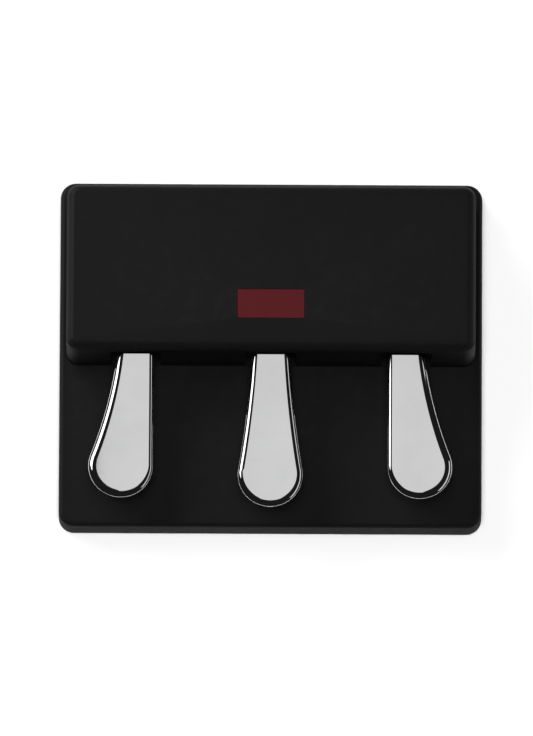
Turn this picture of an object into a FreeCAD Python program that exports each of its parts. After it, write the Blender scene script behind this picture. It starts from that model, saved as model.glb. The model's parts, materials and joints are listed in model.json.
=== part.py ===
import FreeCAD, Part
import math
import os

# Triple pedal unit: three sprung foot pedals that stand out of a cover box on a low base.
# Millimetres. +X right, +Y away from the player, +Z up.
# The origin lies on the floor under the middle of the base.

# Base
base_width = 300.0
base_depth = 250.0
base_side_height = 25.0
base_wall = 3.0
base_corner_radius = 11.0
base_edge_radius = 3.0
mat_thickness = 2.0
mat_inset = 2.0
plate_thickness = 2.0
plate_gap = 0.3

# Cover box over the mechanism
housing_side_inset = 5.0
housing_rear_shelf = 13.0
housing_depth = 120.0
housing_rise = 53.0
housing_wall = 3.0
housing_corner_radius = 8.5
housing_edge_radius = 6.0
slot_width = 35.0
slot_height = 41.0
slot_corner_radius = 4.5
badge_width = 47.3
badge_depth = 20.8
badge_thickness = 1.0
badge_sunk = 0.7
badge_corner_radius = 1.2
badge_from_front = 33.0
badge_gap = 0.1

# Pedals
pedal_spacing = 95.8
pedal_top_rise = 34.0
pedal_thickness = 8.0
pedal_shoulder_radius = 4.0
pedal_lower_edge_radius = 1.0
neck_width = 26.7
neck_setback = 3.0
neck_slope = 9.0
neck_curve_length = 15.0
shank_length = 27.0
toe_radius = 23.35
middle_reach = 109.5
side_reach = 103.3
middle_flank_radius = 800.0
side_flank_radius = 311.0

# Steel lever under each pedal
lever_width = 22.0
lever_height = 14.0
lever_sheet = 2.0
lever_bend_radius = 3.0
lever_front_setback = 8.0
lever_tail = 26.0
press_angle = 7.0

# Pivot
pivot_setback = 64.0
pivot_drop = 7.0
pin_diameter = 6.0
pin_end = 1.5
running_clearance = 0.05
bush_wall = 1.0
bush_flange = 1.0
bush_flange_diameter = 11.0
side_play = 0.3
groove_width = 1.0
groove_depth = 0.6
clip_thickness = 0.9
clip_diameter = 10.0
clip_mouth = 4.0

# Bracket that carries one pedal
bracket_sheet = 2.0
bracket_width = 44.0
bracket_length = 83.0
bracket_front_gap = 6.0
ear_length = 20.0
bracket_screw_spread = 35.0
bracket_screw_inset = 9.0

# Return spring and stops
spring_setback = 40.0
spring_diameter = 14.0
spring_wire = 1.6
spring_end_turns = 1.0
spring_open_turns = 4.0
spring_end_pitch = 2.2
spring_seat_gap = 0.15
spring_boss_diameter = 9.0
spring_boss_height = 2.5
stop_gap = 0.3
buffer_width = 20.0
buffer_length = 10.0
felt_width = 24.0
felt_length = 10.0

# Sensing
board_width = 236.0
board_depth = 20.0
board_thickness = 1.6
board_rear_gap = 3.0
spacer_height = 6.0
spacer_diameter = 6.0
sensor_width = 10.0
sensor_length = 7.0
sensor_height = 12.0
sensor_slot = 3.6
sensor_floor = 3.0
sensor_front_inset = 2.0
flag_thickness = 1.2
flag_rise = 3.0
flag_drop = 12.0
flag_foot_length = 12.0
flag_foot_width = 16.0
flag_tail_gap = 0.5
flag_past_sensor = 1.0
header_width = 16.0
header_length = 7.0
header_height = 7.5
header_offset = 24.0
header_wall = 1.0
header_rear_inset = 1.0

# Cable gland in the rear wall
gland_rise = 17.0
gland_thread_diameter = 10.0
gland_bore_diameter = 5.2
gland_hex = 14.0
gland_flange = 3.0
gland_nose = 2.5
gland_nose_diameter = 8.4
gland_inside = 5.0
gland_nut_thickness = 3.5
gland_hole_gap = 0.1

# Screws
boss_wall = 2.5
boss_inset = 8.5
boss_depth = 10.0
base_boss_inset = 11.0
base_boss_rows = (-0.9, -0.3, 0.3, 0.9)
screw_gap = 0.05
small_screw = 3.0
screw = 4.0
large_screw = 5.0
head_ratio = 2.0
head_height = 1.8
screw_grip = 8.0
blind_depth = 5.5
mat_hole_gap = 0.5
lever_screw_inset = 6.0
lever_screw_pitch = 12.0

# Heights above the floor
base_bottom = mat_thickness
plate_top = base_bottom + plate_thickness
base_top = base_bottom + base_side_height
base_ceiling = base_top - base_wall
housing_top = base_top + housing_rise
housing_ceiling = housing_top - housing_wall
pedal_top = base_top + pedal_top_rise
pedal_bottom = pedal_top - pedal_thickness
neck_curve_radius = neck_curve_length / math.sin(math.radians(neck_slope))
neck_top = pedal_top + 2 * neck_curve_radius * (1 - math.cos(math.radians(neck_slope)))
lever_bottom = pedal_bottom - lever_height
pivot_z = pedal_bottom - pivot_drop
bracket_top = base_top + bracket_sheet
board_bottom = base_top + spacer_height
board_top = board_bottom + board_thickness
gland_z = base_top + gland_rise

# Places from front to rear
housing_rear = base_depth / 2 - housing_rear_shelf
housing_front = housing_rear - housing_depth
housing_middle = (housing_rear + housing_front) / 2
neck_y = housing_front + neck_setback
shank_end = neck_y + shank_length
neck_curve_front = neck_y - neck_curve_length
neck_curve_rear = neck_y + neck_curve_length
lever_front = housing_front + lever_front_setback
pivot_y = housing_front + pivot_setback
lever_end = pivot_y + lever_tail
bracket_front = housing_front + housing_wall + bracket_front_gap
spring_y = housing_front + spring_setback
board_rear = housing_rear - housing_wall - board_rear_gap
board_front = board_rear - board_depth
sensor_front = board_front + sensor_front_inset
badge_y = housing_front + badge_from_front

# Places across
housing_width = base_width - 2 * housing_side_inset
ear_inside = lever_width / 2 + bush_flange + side_play
ear_outside = ear_inside + bracket_sheet
groove_inside = ear_outside + side_play

overshoot = 1.0
tiny = 1e-6
least_radius = 0.5

pedals = {"left": -1, "middle": 0, "right": 1}


def point(x, y, z):
    return FreeCAD.Vector(x, y, z)


def box(x_low, x_high, y_low, y_high, z_low, z_high):
    return Part.makeBox(x_high - x_low, y_high - y_low, z_high - z_low, point(x_low, y_low, z_low))


def post(diameter, x, y, z_low, z_high):
    return Part.makeCylinder(diameter / 2, z_high - z_low, point(x, y, z_low))


def along_x(diameter, x_low, x_high, y, z):
    return Part.makeCylinder(diameter / 2, x_high - x_low, point(x_low, y, z), point(1, 0, 0))


def along_y(diameter, y_low, y_high, x, z):
    return Part.makeCylinder(diameter / 2, y_high - y_low, point(x, y_low, z), point(0, 1, 0))


def joined(shapes):
    whole = shapes[0]
    for shape in shapes[1:]:
        whole = whole.fuse(shape)
    return whole.removeSplitter()


def is_upright(edge):
    size = edge.BoundBox
    return size.XLength < tiny and size.YLength < tiny and size.ZLength > tiny


def round_upright(shape, radius):
    return shape.makeFillet(radius, [edge for edge in shape.Edges if is_upright(edge)])


def runs_across(edge, y):
    return y is not None and abs(edge.BoundBox.YMin - y) < tiny and abs(edge.BoundBox.YMax - y) < tiny


def round_level(shape, radius, z, skip_y=None):
    # Rounds the edges that lie level at height z, but not one that runs across at skip_y
    picked = []
    for edge in shape.Edges:
        at_height = abs(edge.BoundBox.ZMin - z) < tiny and abs(edge.BoundBox.ZMax - z) < tiny
        if at_height and not runs_across(edge, skip_y):
            picked.append(edge)
    return shape.makeFillet(radius, picked)


def round_from(shape, radius, z, skip_y):
    # Rounds every edge from height z up, but not one that runs across at skip_y
    picked = []
    for edge in shape.Edges:
        if edge.BoundBox.ZMin > z - tiny and not runs_across(edge, skip_y):
            picked.append(edge)
    return shape.makeFillet(radius, picked)


def slab(width, depth, radius, z_low, z_high, y_middle=0.0):
    block = box(-width / 2, width / 2, y_middle - depth / 2, y_middle + depth / 2, z_low, z_high)
    return round_upright(block, radius)


def inner_radius(radius, wall):
    return max(radius - wall, least_radius)


def hexagon(across_flats, y_low, y_high, x, z):
    reach = across_flats / math.sqrt(3)
    corners = []
    for step in range(6):
        angle = math.radians(60 * step + 30)
        corners.append(point(x + reach * math.cos(angle), y_low, z + reach * math.sin(angle)))
    face = Part.Face(Part.makePolygon(corners + corners[:1]))
    return face.extrude(point(0, y_high - y_low, 0))


# Screw places

def housing_screw_points():
    far_x = housing_width / 2 - housing_wall - boss_inset
    near_y = housing_front + housing_wall + boss_inset
    far_y = housing_rear - housing_wall - boss_inset
    between_x = pedal_spacing / 2
    between_y = board_front - boss_inset
    places = []
    for side in (-1, 1):
        places += [(side * far_x, near_y), (side * far_x, far_y)]
        places += [(side * between_x, near_y), (side * between_x, between_y)]
    return places


def plate_screw_points():
    far_x = base_width / 2 - base_wall - base_boss_inset
    half_y = base_depth / 2
    return [(side * far_x, share * half_y) for side in (-1, 1) for share in base_boss_rows]


def bracket_screw_points():
    front_y = bracket_front + bracket_screw_inset
    rear_y = bracket_front + bracket_length - bracket_screw_inset
    places = []
    for side in pedals.values():
        for across in (-1, 1):
            x = side * pedal_spacing + across * bracket_screw_spread / 2
            places += [(x, front_y), (x, rear_y)]
    return places


def board_screw_points():
    far_x = board_width / 2 - boss_inset
    middle_y = board_rear - board_depth / 2
    return [(side * x, middle_y) for side in (-1, 1) for x in (far_x, pedal_spacing / 2)]


def lever_screw_places():
    return (lever_front + lever_screw_inset, lever_front + lever_screw_inset + lever_screw_pitch)


def make_screw(size, x, y, seat_z, length, up=1):
    # A pan head on seat_z with its shank going the way of up
    head_top = seat_z - up * head_height
    head = post(size * head_ratio, x, y, min(seat_z, head_top), max(seat_z, head_top))
    shank_tip = seat_z + up * length
    shank = post(size, x, y, min(seat_z, shank_tip), max(seat_z, shank_tip))
    return head.fuse(shank).removeSplitter()


def hole(size, x, y, z_low, z_high):
    return post(size + 2 * screw_gap, x, y, z_low, z_high)


# Base

def make_base_cover():
    outer = slab(base_width, base_depth, base_corner_radius, base_bottom, base_top)
    outer = round_level(outer, base_edge_radius, base_top)
    inside_radius = inner_radius(base_corner_radius, base_wall)
    inner = slab(base_width - 2 * base_wall, base_depth - 2 * base_wall, inside_radius,
                 base_bottom - overshoot, base_ceiling)
    shell = outer.cut(inner)
    bosses = []
    cuts = []
    for x, y in plate_screw_points():
        bosses.append(post(screw + 2 * boss_wall, x, y, plate_top, base_ceiling))
        cuts.append(hole(screw, x, y, plate_top, plate_top + screw_grip + overshoot))
    for x, y in bracket_screw_points():
        bosses.append(post(screw + 2 * boss_wall, x, y, base_ceiling - boss_depth, base_ceiling))
        cuts.append(hole(screw, x, y, bracket_top - screw_grip - overshoot, base_top))
    for x, y in board_screw_points():
        bosses.append(post(small_screw + 2 * boss_wall, x, y, base_ceiling - boss_depth, base_ceiling))
        cuts.append(hole(small_screw, x, y, base_top - screw_grip - overshoot, base_top))
    for x, y in housing_screw_points():
        cuts.append(hole(screw, x, y, base_ceiling - overshoot, base_top + overshoot))
    return joined([shell] + bosses).cut(cuts)


def make_bottom_plate():
    margin = base_wall + plate_gap
    radius = inner_radius(base_corner_radius, margin)
    plate = slab(base_width - 2 * margin, base_depth - 2 * margin, radius, base_bottom, plate_top)
    return plate.cut([hole(screw, x, y, 0, plate_top + overshoot) for x, y in plate_screw_points()])


def make_rubber_mat():
    radius = inner_radius(base_corner_radius, mat_inset)
    mat = slab(base_width - 2 * mat_inset, base_depth - 2 * mat_inset, radius, 0, mat_thickness)
    opening = screw * head_ratio + 2 * mat_hole_gap
    cuts = [post(opening, x, y, -overshoot, mat_thickness + overshoot) for x, y in plate_screw_points()]
    return mat.cut(cuts)


# Cover box

def slot_cutter(x):
    top = base_top + slot_height
    low_y = housing_front - overshoot
    high_y = housing_front + housing_wall + overshoot
    upper = box(x - slot_width / 2, x + slot_width / 2, low_y, high_y, base_top - overshoot, top)
    corners = []
    for edge in upper.Edges:
        size = edge.BoundBox
        if size.YLength > tiny and size.XLength < tiny and abs(size.ZMin - top) < tiny:
            corners.append(edge)
    return upper.makeFillet(slot_corner_radius, corners)


def make_housing_cover():
    outer = slab(housing_width, housing_depth, housing_corner_radius, base_top, housing_top, housing_middle)
    outer = round_level(outer, housing_edge_radius, housing_top)
    inner = slab(housing_width - 2 * housing_wall, housing_depth - 2 * housing_wall,
                 inner_radius(housing_corner_radius, housing_wall),
                 base_top - overshoot, housing_ceiling, housing_middle)
    inner = round_level(inner, inner_radius(housing_edge_radius, housing_wall), housing_ceiling)
    shell = outer.cut(inner)
    bosses = []
    cuts = []
    for x, y in housing_screw_points():
        bosses.append(post(screw + 2 * boss_wall, x, y, base_top, housing_ceiling))
        cuts.append(hole(screw, x, y, base_top, base_ceiling + screw_grip + overshoot))
    for side in pedals.values():
        cuts.append(slot_cutter(side * pedal_spacing))
    cuts.append(along_y(gland_thread_diameter + 2 * gland_hole_gap, housing_rear - housing_wall - overshoot,
                        housing_rear + overshoot, 0, gland_z))
    cuts.append(slab(badge_width + 2 * badge_gap, badge_depth + 2 * badge_gap, badge_corner_radius + badge_gap,
                     housing_top - badge_sunk, housing_top + overshoot, badge_y))
    return joined([shell] + bosses).cut(cuts)


def make_badge_plate():
    low = housing_top - badge_sunk
    return slab(badge_width, badge_depth, badge_corner_radius, low, low + badge_thickness, badge_y)


# Pedals

def flank_centre(neck, toe, flank_radius):
    # Centre of the hollow flank arc that passes the neck point and touches the toe circle
    reach = flank_radius + toe_radius
    gap = neck - toe
    along = (reach ** 2 - flank_radius ** 2 + gap.Length ** 2) / (2 * gap.Length)
    across = math.sqrt(reach ** 2 - along ** 2)
    forward = gap * (1 / gap.Length)
    sideways = point(forward.y, -forward.x, 0)
    return toe + forward * along + sideways * across


def flank(neck, toe, flank_radius):
    # The arc from the toe circle back to the shank's end
    centre = flank_centre(neck, toe, flank_radius)
    start = toe + (centre - toe) * (toe_radius / (flank_radius + toe_radius))
    end_x = centre.x - math.sqrt(flank_radius ** 2 - (shank_end - centre.y) ** 2)
    end = point(end_x, shank_end, 0)
    halfway = (start - centre) + (end - centre)
    middle = centre + halfway * (flank_radius / halfway.Length)
    return start, middle, end


def mirrored(places):
    return [point(-place.x, place.y, place.z) for place in places]


def pedal_outline(side):
    half = neck_width / 2
    reach = side_reach if side else middle_reach
    toe_x = toe_radius - half if side else 0.0
    toe = point(toe_x, housing_front - reach + toe_radius, 0)
    tip = point(toe_x, toe.y - toe_radius, 0)
    neck = point(half, neck_y, 0)
    if side:
        outer = flank(neck, toe, side_flank_radius)
        inner_start = point(-half, toe.y, 0)
        inner_end = point(-half, shank_end, 0)
        inner_edge = Part.LineSegment(inner_end, inner_start).toShape()
    else:
        outer = flank(neck, toe, middle_flank_radius)
        inner_start, inner_middle, inner_end = mirrored(outer)
        inner_edge = Part.Arc(inner_end, inner_middle, inner_start).toShape()
    edges = [
        Part.Arc(outer[0], outer[1], outer[2]).toShape(),
        Part.LineSegment(outer[2], inner_end).toShape(),
        inner_edge,
        Part.Arc(inner_start, tip, outer[0]).toShape(),
    ]
    return Part.Wire(edges)


def side_point(y, z):
    return point(-pedal_spacing / 2, y, z)


def climbing(angle):
    # The hollow lower half of the curve by which the pedal's top rises into the housing
    return side_point(neck_curve_front + neck_curve_radius * math.sin(angle),
                      pedal_top + neck_curve_radius * (1 - math.cos(angle)))


def levelling(angle):
    # The round upper half of that curve
    return side_point(neck_curve_rear - neck_curve_radius * math.sin(angle),
                      neck_top - neck_curve_radius * (1 - math.cos(angle)))


def space_over_pedal():
    slope = math.radians(neck_slope)
    ceiling = neck_top + pedal_thickness
    corners = [side_point(housing_rear, neck_top), side_point(housing_rear, ceiling),
               side_point(-base_depth, ceiling), side_point(-base_depth, pedal_top)]
    edges = [
        Part.Arc(climbing(0), climbing(slope / 2), climbing(slope)).toShape(),
        Part.Arc(levelling(slope), levelling(slope / 2), levelling(0)).toShape(),
    ]
    for start, end in zip([levelling(0)] + corners, corners + [climbing(0)]):
        edges.append(Part.LineSegment(start, end).toShape())
    return Part.Face(Part.Wire(edges)).extrude(point(pedal_spacing, 0, 0))


def make_pedal(side):
    face = Part.Face(pedal_outline(side))
    blade = face.extrude(point(0, 0, neck_top + pedal_thickness / 2 - pedal_bottom))
    blade.translate(point(0, 0, pedal_bottom))
    blade = blade.cut(space_over_pedal())
    blade = round_from(blade, pedal_shoulder_radius, pedal_top, shank_end)
    blade = round_level(blade, pedal_lower_edge_radius, pedal_bottom, shank_end)
    if side < 0:
        blade = blade.mirror(point(0, 0, 0), point(1, 0, 0))
    cuts = []
    for y in lever_screw_places():
        cuts.append(hole(large_screw, 0, y, pedal_bottom - overshoot, pedal_bottom + blind_depth))
    return blade.cut(cuts)


def lever_section():
    # Channel that opens downwards, with its two bends as arcs
    half = lever_width / 2
    inside = half - lever_sheet
    bend = lever_bend_radius
    inner_bend = inner_radius(bend, lever_sheet)
    ceiling = pedal_bottom - lever_sheet
    outer = box(-half, half, lever_front, lever_end, lever_bottom, pedal_bottom)
    inner = box(-inside, inside, lever_front - overshoot, lever_end + overshoot, lever_bottom - overshoot, ceiling)
    outer = round_run(outer, bend, pedal_bottom)
    inner = round_run(inner, inner_bend, ceiling)
    return outer.cut(inner)


def round_run(shape, radius, z):
    # Rounds the edges that run from front to rear at height z
    picked = []
    for edge in shape.Edges:
        size = edge.BoundBox
        if size.XLength < tiny and size.YLength > tiny and abs(size.ZMin - z) < tiny and size.ZLength < tiny:
            picked.append(edge)
    return shape.makeFillet(radius, picked)


def make_lever():
    ceiling = pedal_bottom - lever_sheet
    boss = post(spring_boss_diameter, 0, spring_y, ceiling - spring_boss_height, ceiling)
    half = lever_width / 2 + overshoot
    cuts = [along_x(pin_diameter + 2 * running_clearance + 2 * bush_wall, -half, half, pivot_y, pivot_z)]
    for y in lever_screw_places():
        cuts.append(hole(large_screw, 0, y, ceiling - overshoot, pedal_bottom + overshoot))
    return joined([lever_section(), boss]).cut(cuts)


def make_lever_screws():
    ceiling = pedal_bottom - lever_sheet
    length = lever_sheet + blind_depth - running_clearance
    return [make_screw(large_screw, 0, y, ceiling, length) for y in lever_screw_places()]


def make_bushes():
    bore = pin_diameter + 2 * running_clearance
    inside = lever_width / 2 - lever_sheet
    shoulder = lever_width / 2
    bushes = []
    for side in (-1, 1):
        low, high = sorted((side * inside, side * shoulder))
        barrel = along_x(bore + 2 * bush_wall, low, high, pivot_y, pivot_z)
        low, high = sorted((side * shoulder, side * (shoulder + bush_flange)))
        flange = along_x(bush_flange_diameter, low, high, pivot_y, pivot_z)
        whole = barrel.fuse(flange)
        reach = shoulder + bush_flange + overshoot
        bushes.append(whole.cut(along_x(bore, -reach, reach, pivot_y, pivot_z)).removeSplitter())
    return bushes


def make_pivot_pin():
    half = groove_inside + groove_width + pin_end
    pin = along_x(pin_diameter, -half, half, pivot_y, pivot_z)
    cuts = []
    for side in (-1, 1):
        low, high = sorted((side * groove_inside, side * (groove_inside + groove_width)))
        ring = along_x(pin_diameter + overshoot, low, high, pivot_y, pivot_z)
        cuts.append(ring.cut(along_x(pin_diameter - 2 * groove_depth, low, high, pivot_y, pivot_z)))
    return pin.cut(cuts)


def make_clips():
    slack = (groove_width - clip_thickness) / 2
    bore = pin_diameter - 2 * groove_depth + 2 * running_clearance
    clips = []
    for side in (-1, 1):
        inside = groove_inside + slack
        low, high = sorted((side * inside, side * (inside + clip_thickness)))
        ring = along_x(clip_diameter, low, high, pivot_y, pivot_z)
        ring = ring.cut(along_x(bore, low, high, pivot_y, pivot_z))
        mouth = box(low, high, pivot_y - clip_mouth / 2, pivot_y + clip_mouth / 2, pivot_z, pivot_z + clip_diameter)
        clips.append(ring.cut(mouth))
    return clips


def make_bracket():
    half = bracket_width / 2
    plate = box(-half, half, bracket_front, bracket_front + bracket_length, base_top, bracket_top)
    shapes = [round_upright(plate, boss_wall)]
    for side in (-1, 1):
        low, high = sorted((side * ear_inside, side * ear_outside))
        shapes.append(box(low, high, pivot_y - ear_length / 2, pivot_y + ear_length / 2, bracket_top, pivot_z))
        shapes.append(along_x(ear_length, low, high, pivot_y, pivot_z))
    shapes.append(post(spring_boss_diameter, 0, spring_y, bracket_top, bracket_top + spring_boss_height))
    reach = ear_outside + overshoot
    cuts = [along_x(pin_diameter + 2 * running_clearance, -reach, reach, pivot_y, pivot_z)]
    front_y = bracket_front + bracket_screw_inset
    rear_y = bracket_front + bracket_length - bracket_screw_inset
    for across in (-1, 1):
        for y in (front_y, rear_y):
            x = across * bracket_screw_spread / 2
            cuts.append(hole(screw, x, y, base_top - overshoot, bracket_top + overshoot))
    return joined(shapes).cut(cuts)


def biarc(start, start_way, end, end_way):
    # Two arcs that leave start and reach end along the given directions and meet smoothly
    span = end - start
    ways = start_way + end_way
    a = 2 * (1 - start_way.dot(end_way))
    b = 2 * span.dot(ways)
    c = -span.dot(span)
    reach = (-b + math.sqrt(b * b - 4 * a * c)) / (2 * a)
    first_knee = start + start_way * reach
    second_knee = end - end_way * reach
    joint = (first_knee + second_knee) * 0.5
    return [arc_by_knee(start, first_knee, joint), arc_by_knee(joint, second_knee, end)]


def arc_by_knee(start, knee, end):
    # The arc whose end tangents meet in knee
    middle = (start + end) * 0.5
    half_chord = (end - start).Length / 2
    half_turn = math.acos(min(1.0, half_chord / (knee - start).Length))
    rise = half_chord * math.tan(half_turn / 2)
    outward = knee - middle
    top = middle + outward * (rise / outward.Length)
    return Part.Arc(start, top, end).toShape()


def spring_levels():
    # Height and slope of the wire's centre line at each quarter turn
    seat = bracket_top + spring_seat_gap + spring_wire / 2
    crown = pedal_bottom - lever_sheet - spring_seat_gap - spring_wire / 2
    end_rise = spring_end_turns * spring_end_pitch
    open_pitch = (crown - seat - 2 * end_rise) / spring_open_turns
    end_steps = round(4 * spring_end_turns)
    open_steps = round(4 * spring_open_turns)
    pitches = [spring_end_pitch] * end_steps + [open_pitch] * open_steps + [spring_end_pitch] * end_steps
    heights = [seat]
    for pitch in pitches:
        heights.append(heights[-1] + pitch / 4)
    slopes = [pitches[0]]
    for before, after in zip(pitches, pitches[1:]):
        slopes.append((before + after) / 2)
    slopes.append(pitches[-1])
    return heights, slopes


def make_spring():
    radius = (spring_diameter - spring_wire) / 2
    heights, slopes = spring_levels()
    places = []
    ways = []
    for step, (height, slope) in enumerate(zip(heights, slopes)):
        angle = step * math.pi / 2
        places.append(point(radius * math.cos(angle), spring_y + radius * math.sin(angle), height))
        way = point(-radius * math.sin(angle), radius * math.cos(angle), slope / (2 * math.pi))
        ways.append(way * (1 / way.Length))
    edges = []
    for step in range(len(places) - 1):
        edges += biarc(places[step], ways[step], places[step + 1], ways[step + 1])
    path = Part.Wire(edges)
    section = Part.Wire([Part.makeCircle(spring_wire / 2, places[0], ways[0])])
    solid = path.makePipeShell([section], True, False)
    return solid, path


def spring_least_gap(path):
    # Least distance between the wire's surfaces on neighbouring turns
    samples_per_turn = 24
    turns = 2 * spring_end_turns + spring_open_turns
    places = path.discretize(Number=round(samples_per_turn * turns) + 1)
    least = math.inf
    for index, place in enumerate(places):
        for other in places[index + samples_per_turn // 2:]:
            least = min(least, (place - other).Length)
    return least - spring_wire


def pressed_height(y, z):
    # Height of a point of the lever when its pedal is down
    angle = math.radians(press_angle)
    return pivot_z + (y - pivot_y) * math.sin(angle) + (z - pivot_z) * math.cos(angle)


def make_press_felt():
    top = pressed_height(lever_front, lever_bottom) - stop_gap
    half = felt_width / 2
    return box(-half, half, bracket_front, bracket_front + felt_length, bracket_top, top)


def make_rest_buffer():
    half = buffer_width / 2
    return box(-half, half, lever_end - buffer_length, lever_end, bracket_top, lever_bottom - stop_gap)


def make_flag():
    half = flag_thickness / 2
    rear = sensor_front + sensor_length + flag_past_sensor
    fin_front = lever_end + flag_tail_gap
    foot_half = flag_foot_width / 2
    foot = box(-foot_half, foot_half, lever_end - flag_foot_length, lever_end, pedal_bottom,
               pedal_bottom + flag_thickness)
    spine = box(-half, half, lever_end - flag_foot_length, rear, pedal_bottom, pedal_bottom + flag_rise)
    fin = box(-half, half, fin_front, rear, pedal_bottom - flag_drop, pedal_bottom)
    return joined([foot, spine, fin])


# Electronics

def make_circuit_board():
    half = board_width / 2
    board = box(-half, half, board_front, board_rear, board_bottom, board_top)
    return board.cut([hole(small_screw, x, y, base_top, board_top + overshoot) for x, y in board_screw_points()])


def make_board_spacers():
    spacers = []
    for x, y in board_screw_points():
        tube = post(spacer_diameter, x, y, base_top, board_bottom)
        spacers.append(tube.cut(hole(small_screw, x, y, base_top - overshoot, board_bottom + overshoot)))
    return spacers


def make_board_screws():
    length = board_top - base_top + screw_grip
    return [make_screw(small_screw, x, y, board_top, length, -1) for x, y in board_screw_points()]


def make_optical_sensors():
    sensors = []
    for side in pedals.values():
        x = side * pedal_spacing
        half = sensor_width / 2
        rear = sensor_front + sensor_length
        body = box(x - half, x + half, sensor_front, rear, board_top, board_top + sensor_height)
        gap = box(x - sensor_slot / 2, x + sensor_slot / 2, sensor_front - overshoot, rear + overshoot,
                  board_top + sensor_floor, board_top + sensor_height + overshoot)
        sensors.append(body.cut(gap))
    return sensors


def make_cable_header():
    low_x = header_offset - header_width / 2
    high_x = header_offset + header_width / 2
    rear = board_rear - header_rear_inset
    front = rear - header_length
    top = board_top + header_height
    shell = box(low_x, high_x, front, rear, board_top, top)
    pocket = box(low_x + header_wall, high_x - header_wall, front + header_wall, rear - header_wall,
                 board_top + header_wall, top + overshoot)
    return shell.cut(pocket)


def make_cable_gland():
    inside_end = housing_rear - housing_wall - gland_inside
    thread = along_y(gland_thread_diameter, inside_end, housing_rear, 0, gland_z)
    flange_rear = housing_rear + gland_flange
    flange = hexagon(gland_hex, housing_rear, flange_rear, 0, gland_z)
    nose = Part.makeCone(gland_thread_diameter / 2, gland_nose_diameter / 2, gland_nose,
                         point(0, flange_rear, gland_z), point(0, 1, 0))
    bore = along_y(gland_bore_diameter, inside_end - overshoot, flange_rear + gland_nose + overshoot, 0, gland_z)
    return joined([thread, flange, nose]).cut(bore)


def make_gland_nut():
    front = housing_rear - housing_wall - gland_nut_thickness
    nut = hexagon(gland_hex, front, front + gland_nut_thickness, 0, gland_z)
    return nut.cut(along_y(gland_thread_diameter, front - overshoot, housing_rear, 0, gland_z))


# Fasteners of the casing

def make_bottom_screws():
    return [make_screw(screw, x, y, base_bottom, plate_thickness + screw_grip) for x, y in plate_screw_points()]


def make_housing_screws():
    return [make_screw(screw, x, y, base_ceiling, screw_grip) for x, y in housing_screw_points()]


def make_bracket_screws():
    return [make_screw(screw, x, y, bracket_top, screw_grip, -1) for x, y in bracket_screw_points()]


def write(name, shape):
    if isinstance(shape, list):
        shape = Part.makeCompound(shape)
    shape.exportStep("parts/" + name + ".step")


def write_pedal_group(name, side):
    spring, path = make_spring()
    wire_area = math.pi * spring_wire ** 2 / 4
    print(name, "spring: least gap", round(spring_least_gap(path), 3), "mm; volume",
          round(spring.Volume, 1), "against", round(path.Length * wire_area, 1))
    pieces = {
        "pedal": make_pedal(side),
        "lever": make_lever(),
        "lever_screws": make_lever_screws(),
        "bushes": make_bushes(),
        "flag": make_flag(),
        "pivot_pin": make_pivot_pin(),
        "pin_clips": make_clips(),
        "pivot_bracket": make_bracket(),
        "return_spring": spring,
        "press_felt": make_press_felt(),
        "rest_buffer": make_rest_buffer(),
    }
    for piece, shape in pieces.items():
        if isinstance(shape, list):
            shape = Part.makeCompound(shape)
        shape.translate(point(side * pedal_spacing, 0, 0))
        write(name + "_" + piece, shape)


def main():
    os.makedirs("parts", exist_ok=True)
    for name, side in pedals.items():
        write_pedal_group(name, side)
    write("base_cover", make_base_cover())
    write("bottom_plate", make_bottom_plate())
    write("rubber_mat", make_rubber_mat())
    write("housing_cover", make_housing_cover())
    write("badge_plate", make_badge_plate())
    write("circuit_board", make_circuit_board())
    write("board_spacers", make_board_spacers())
    write("optical_sensors", make_optical_sensors())
    write("cable_header", make_cable_header())
    write("cable_gland", make_cable_gland())
    write("gland_nut", make_gland_nut())
    write("bottom_screws", make_bottom_screws())
    write("housing_screws", make_housing_screws())
    write("bracket_screws", make_bracket_screws())
    write("board_screws", make_board_screws())


main()
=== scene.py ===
import json
import math

import bmesh
import bpy
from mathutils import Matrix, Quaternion, Vector


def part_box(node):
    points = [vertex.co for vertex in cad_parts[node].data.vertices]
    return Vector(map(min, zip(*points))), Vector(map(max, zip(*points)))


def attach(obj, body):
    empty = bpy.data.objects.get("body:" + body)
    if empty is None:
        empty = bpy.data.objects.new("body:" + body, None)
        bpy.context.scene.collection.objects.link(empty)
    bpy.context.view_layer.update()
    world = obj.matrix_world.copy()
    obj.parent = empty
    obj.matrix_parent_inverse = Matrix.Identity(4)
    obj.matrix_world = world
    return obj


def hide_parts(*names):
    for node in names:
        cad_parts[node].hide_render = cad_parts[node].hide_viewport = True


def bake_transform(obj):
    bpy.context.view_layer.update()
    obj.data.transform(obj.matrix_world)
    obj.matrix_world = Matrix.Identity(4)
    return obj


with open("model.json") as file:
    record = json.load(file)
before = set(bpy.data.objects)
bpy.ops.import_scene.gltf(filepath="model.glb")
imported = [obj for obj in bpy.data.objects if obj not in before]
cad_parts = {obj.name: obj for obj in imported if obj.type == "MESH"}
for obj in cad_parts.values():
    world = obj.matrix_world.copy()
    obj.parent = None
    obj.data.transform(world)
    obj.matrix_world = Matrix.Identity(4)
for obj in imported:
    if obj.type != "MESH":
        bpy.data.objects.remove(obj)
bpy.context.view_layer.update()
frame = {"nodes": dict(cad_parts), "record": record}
nodes = frame["nodes"]
sides = ("left", "middle", "right")
mm = 0.001
print("frame loaded with", len(nodes), "nodes")


def addToScene(thing):
    bpy.context.scene.collection.objects.link(thing)


# Camera

# Looks almost straight down from far away, so the picture hardly converges
cameraSetup = {
    "aim": (-3.0 * mm, -10.3 * mm, 30 * mm),
    "azimuth": -90.0,
    "elevation": 77.0,
    "roll": 0.3,
    "lens": 1000.0,
    "distance": 14.517,
    "clipEnd": 100.0,
}


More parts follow.
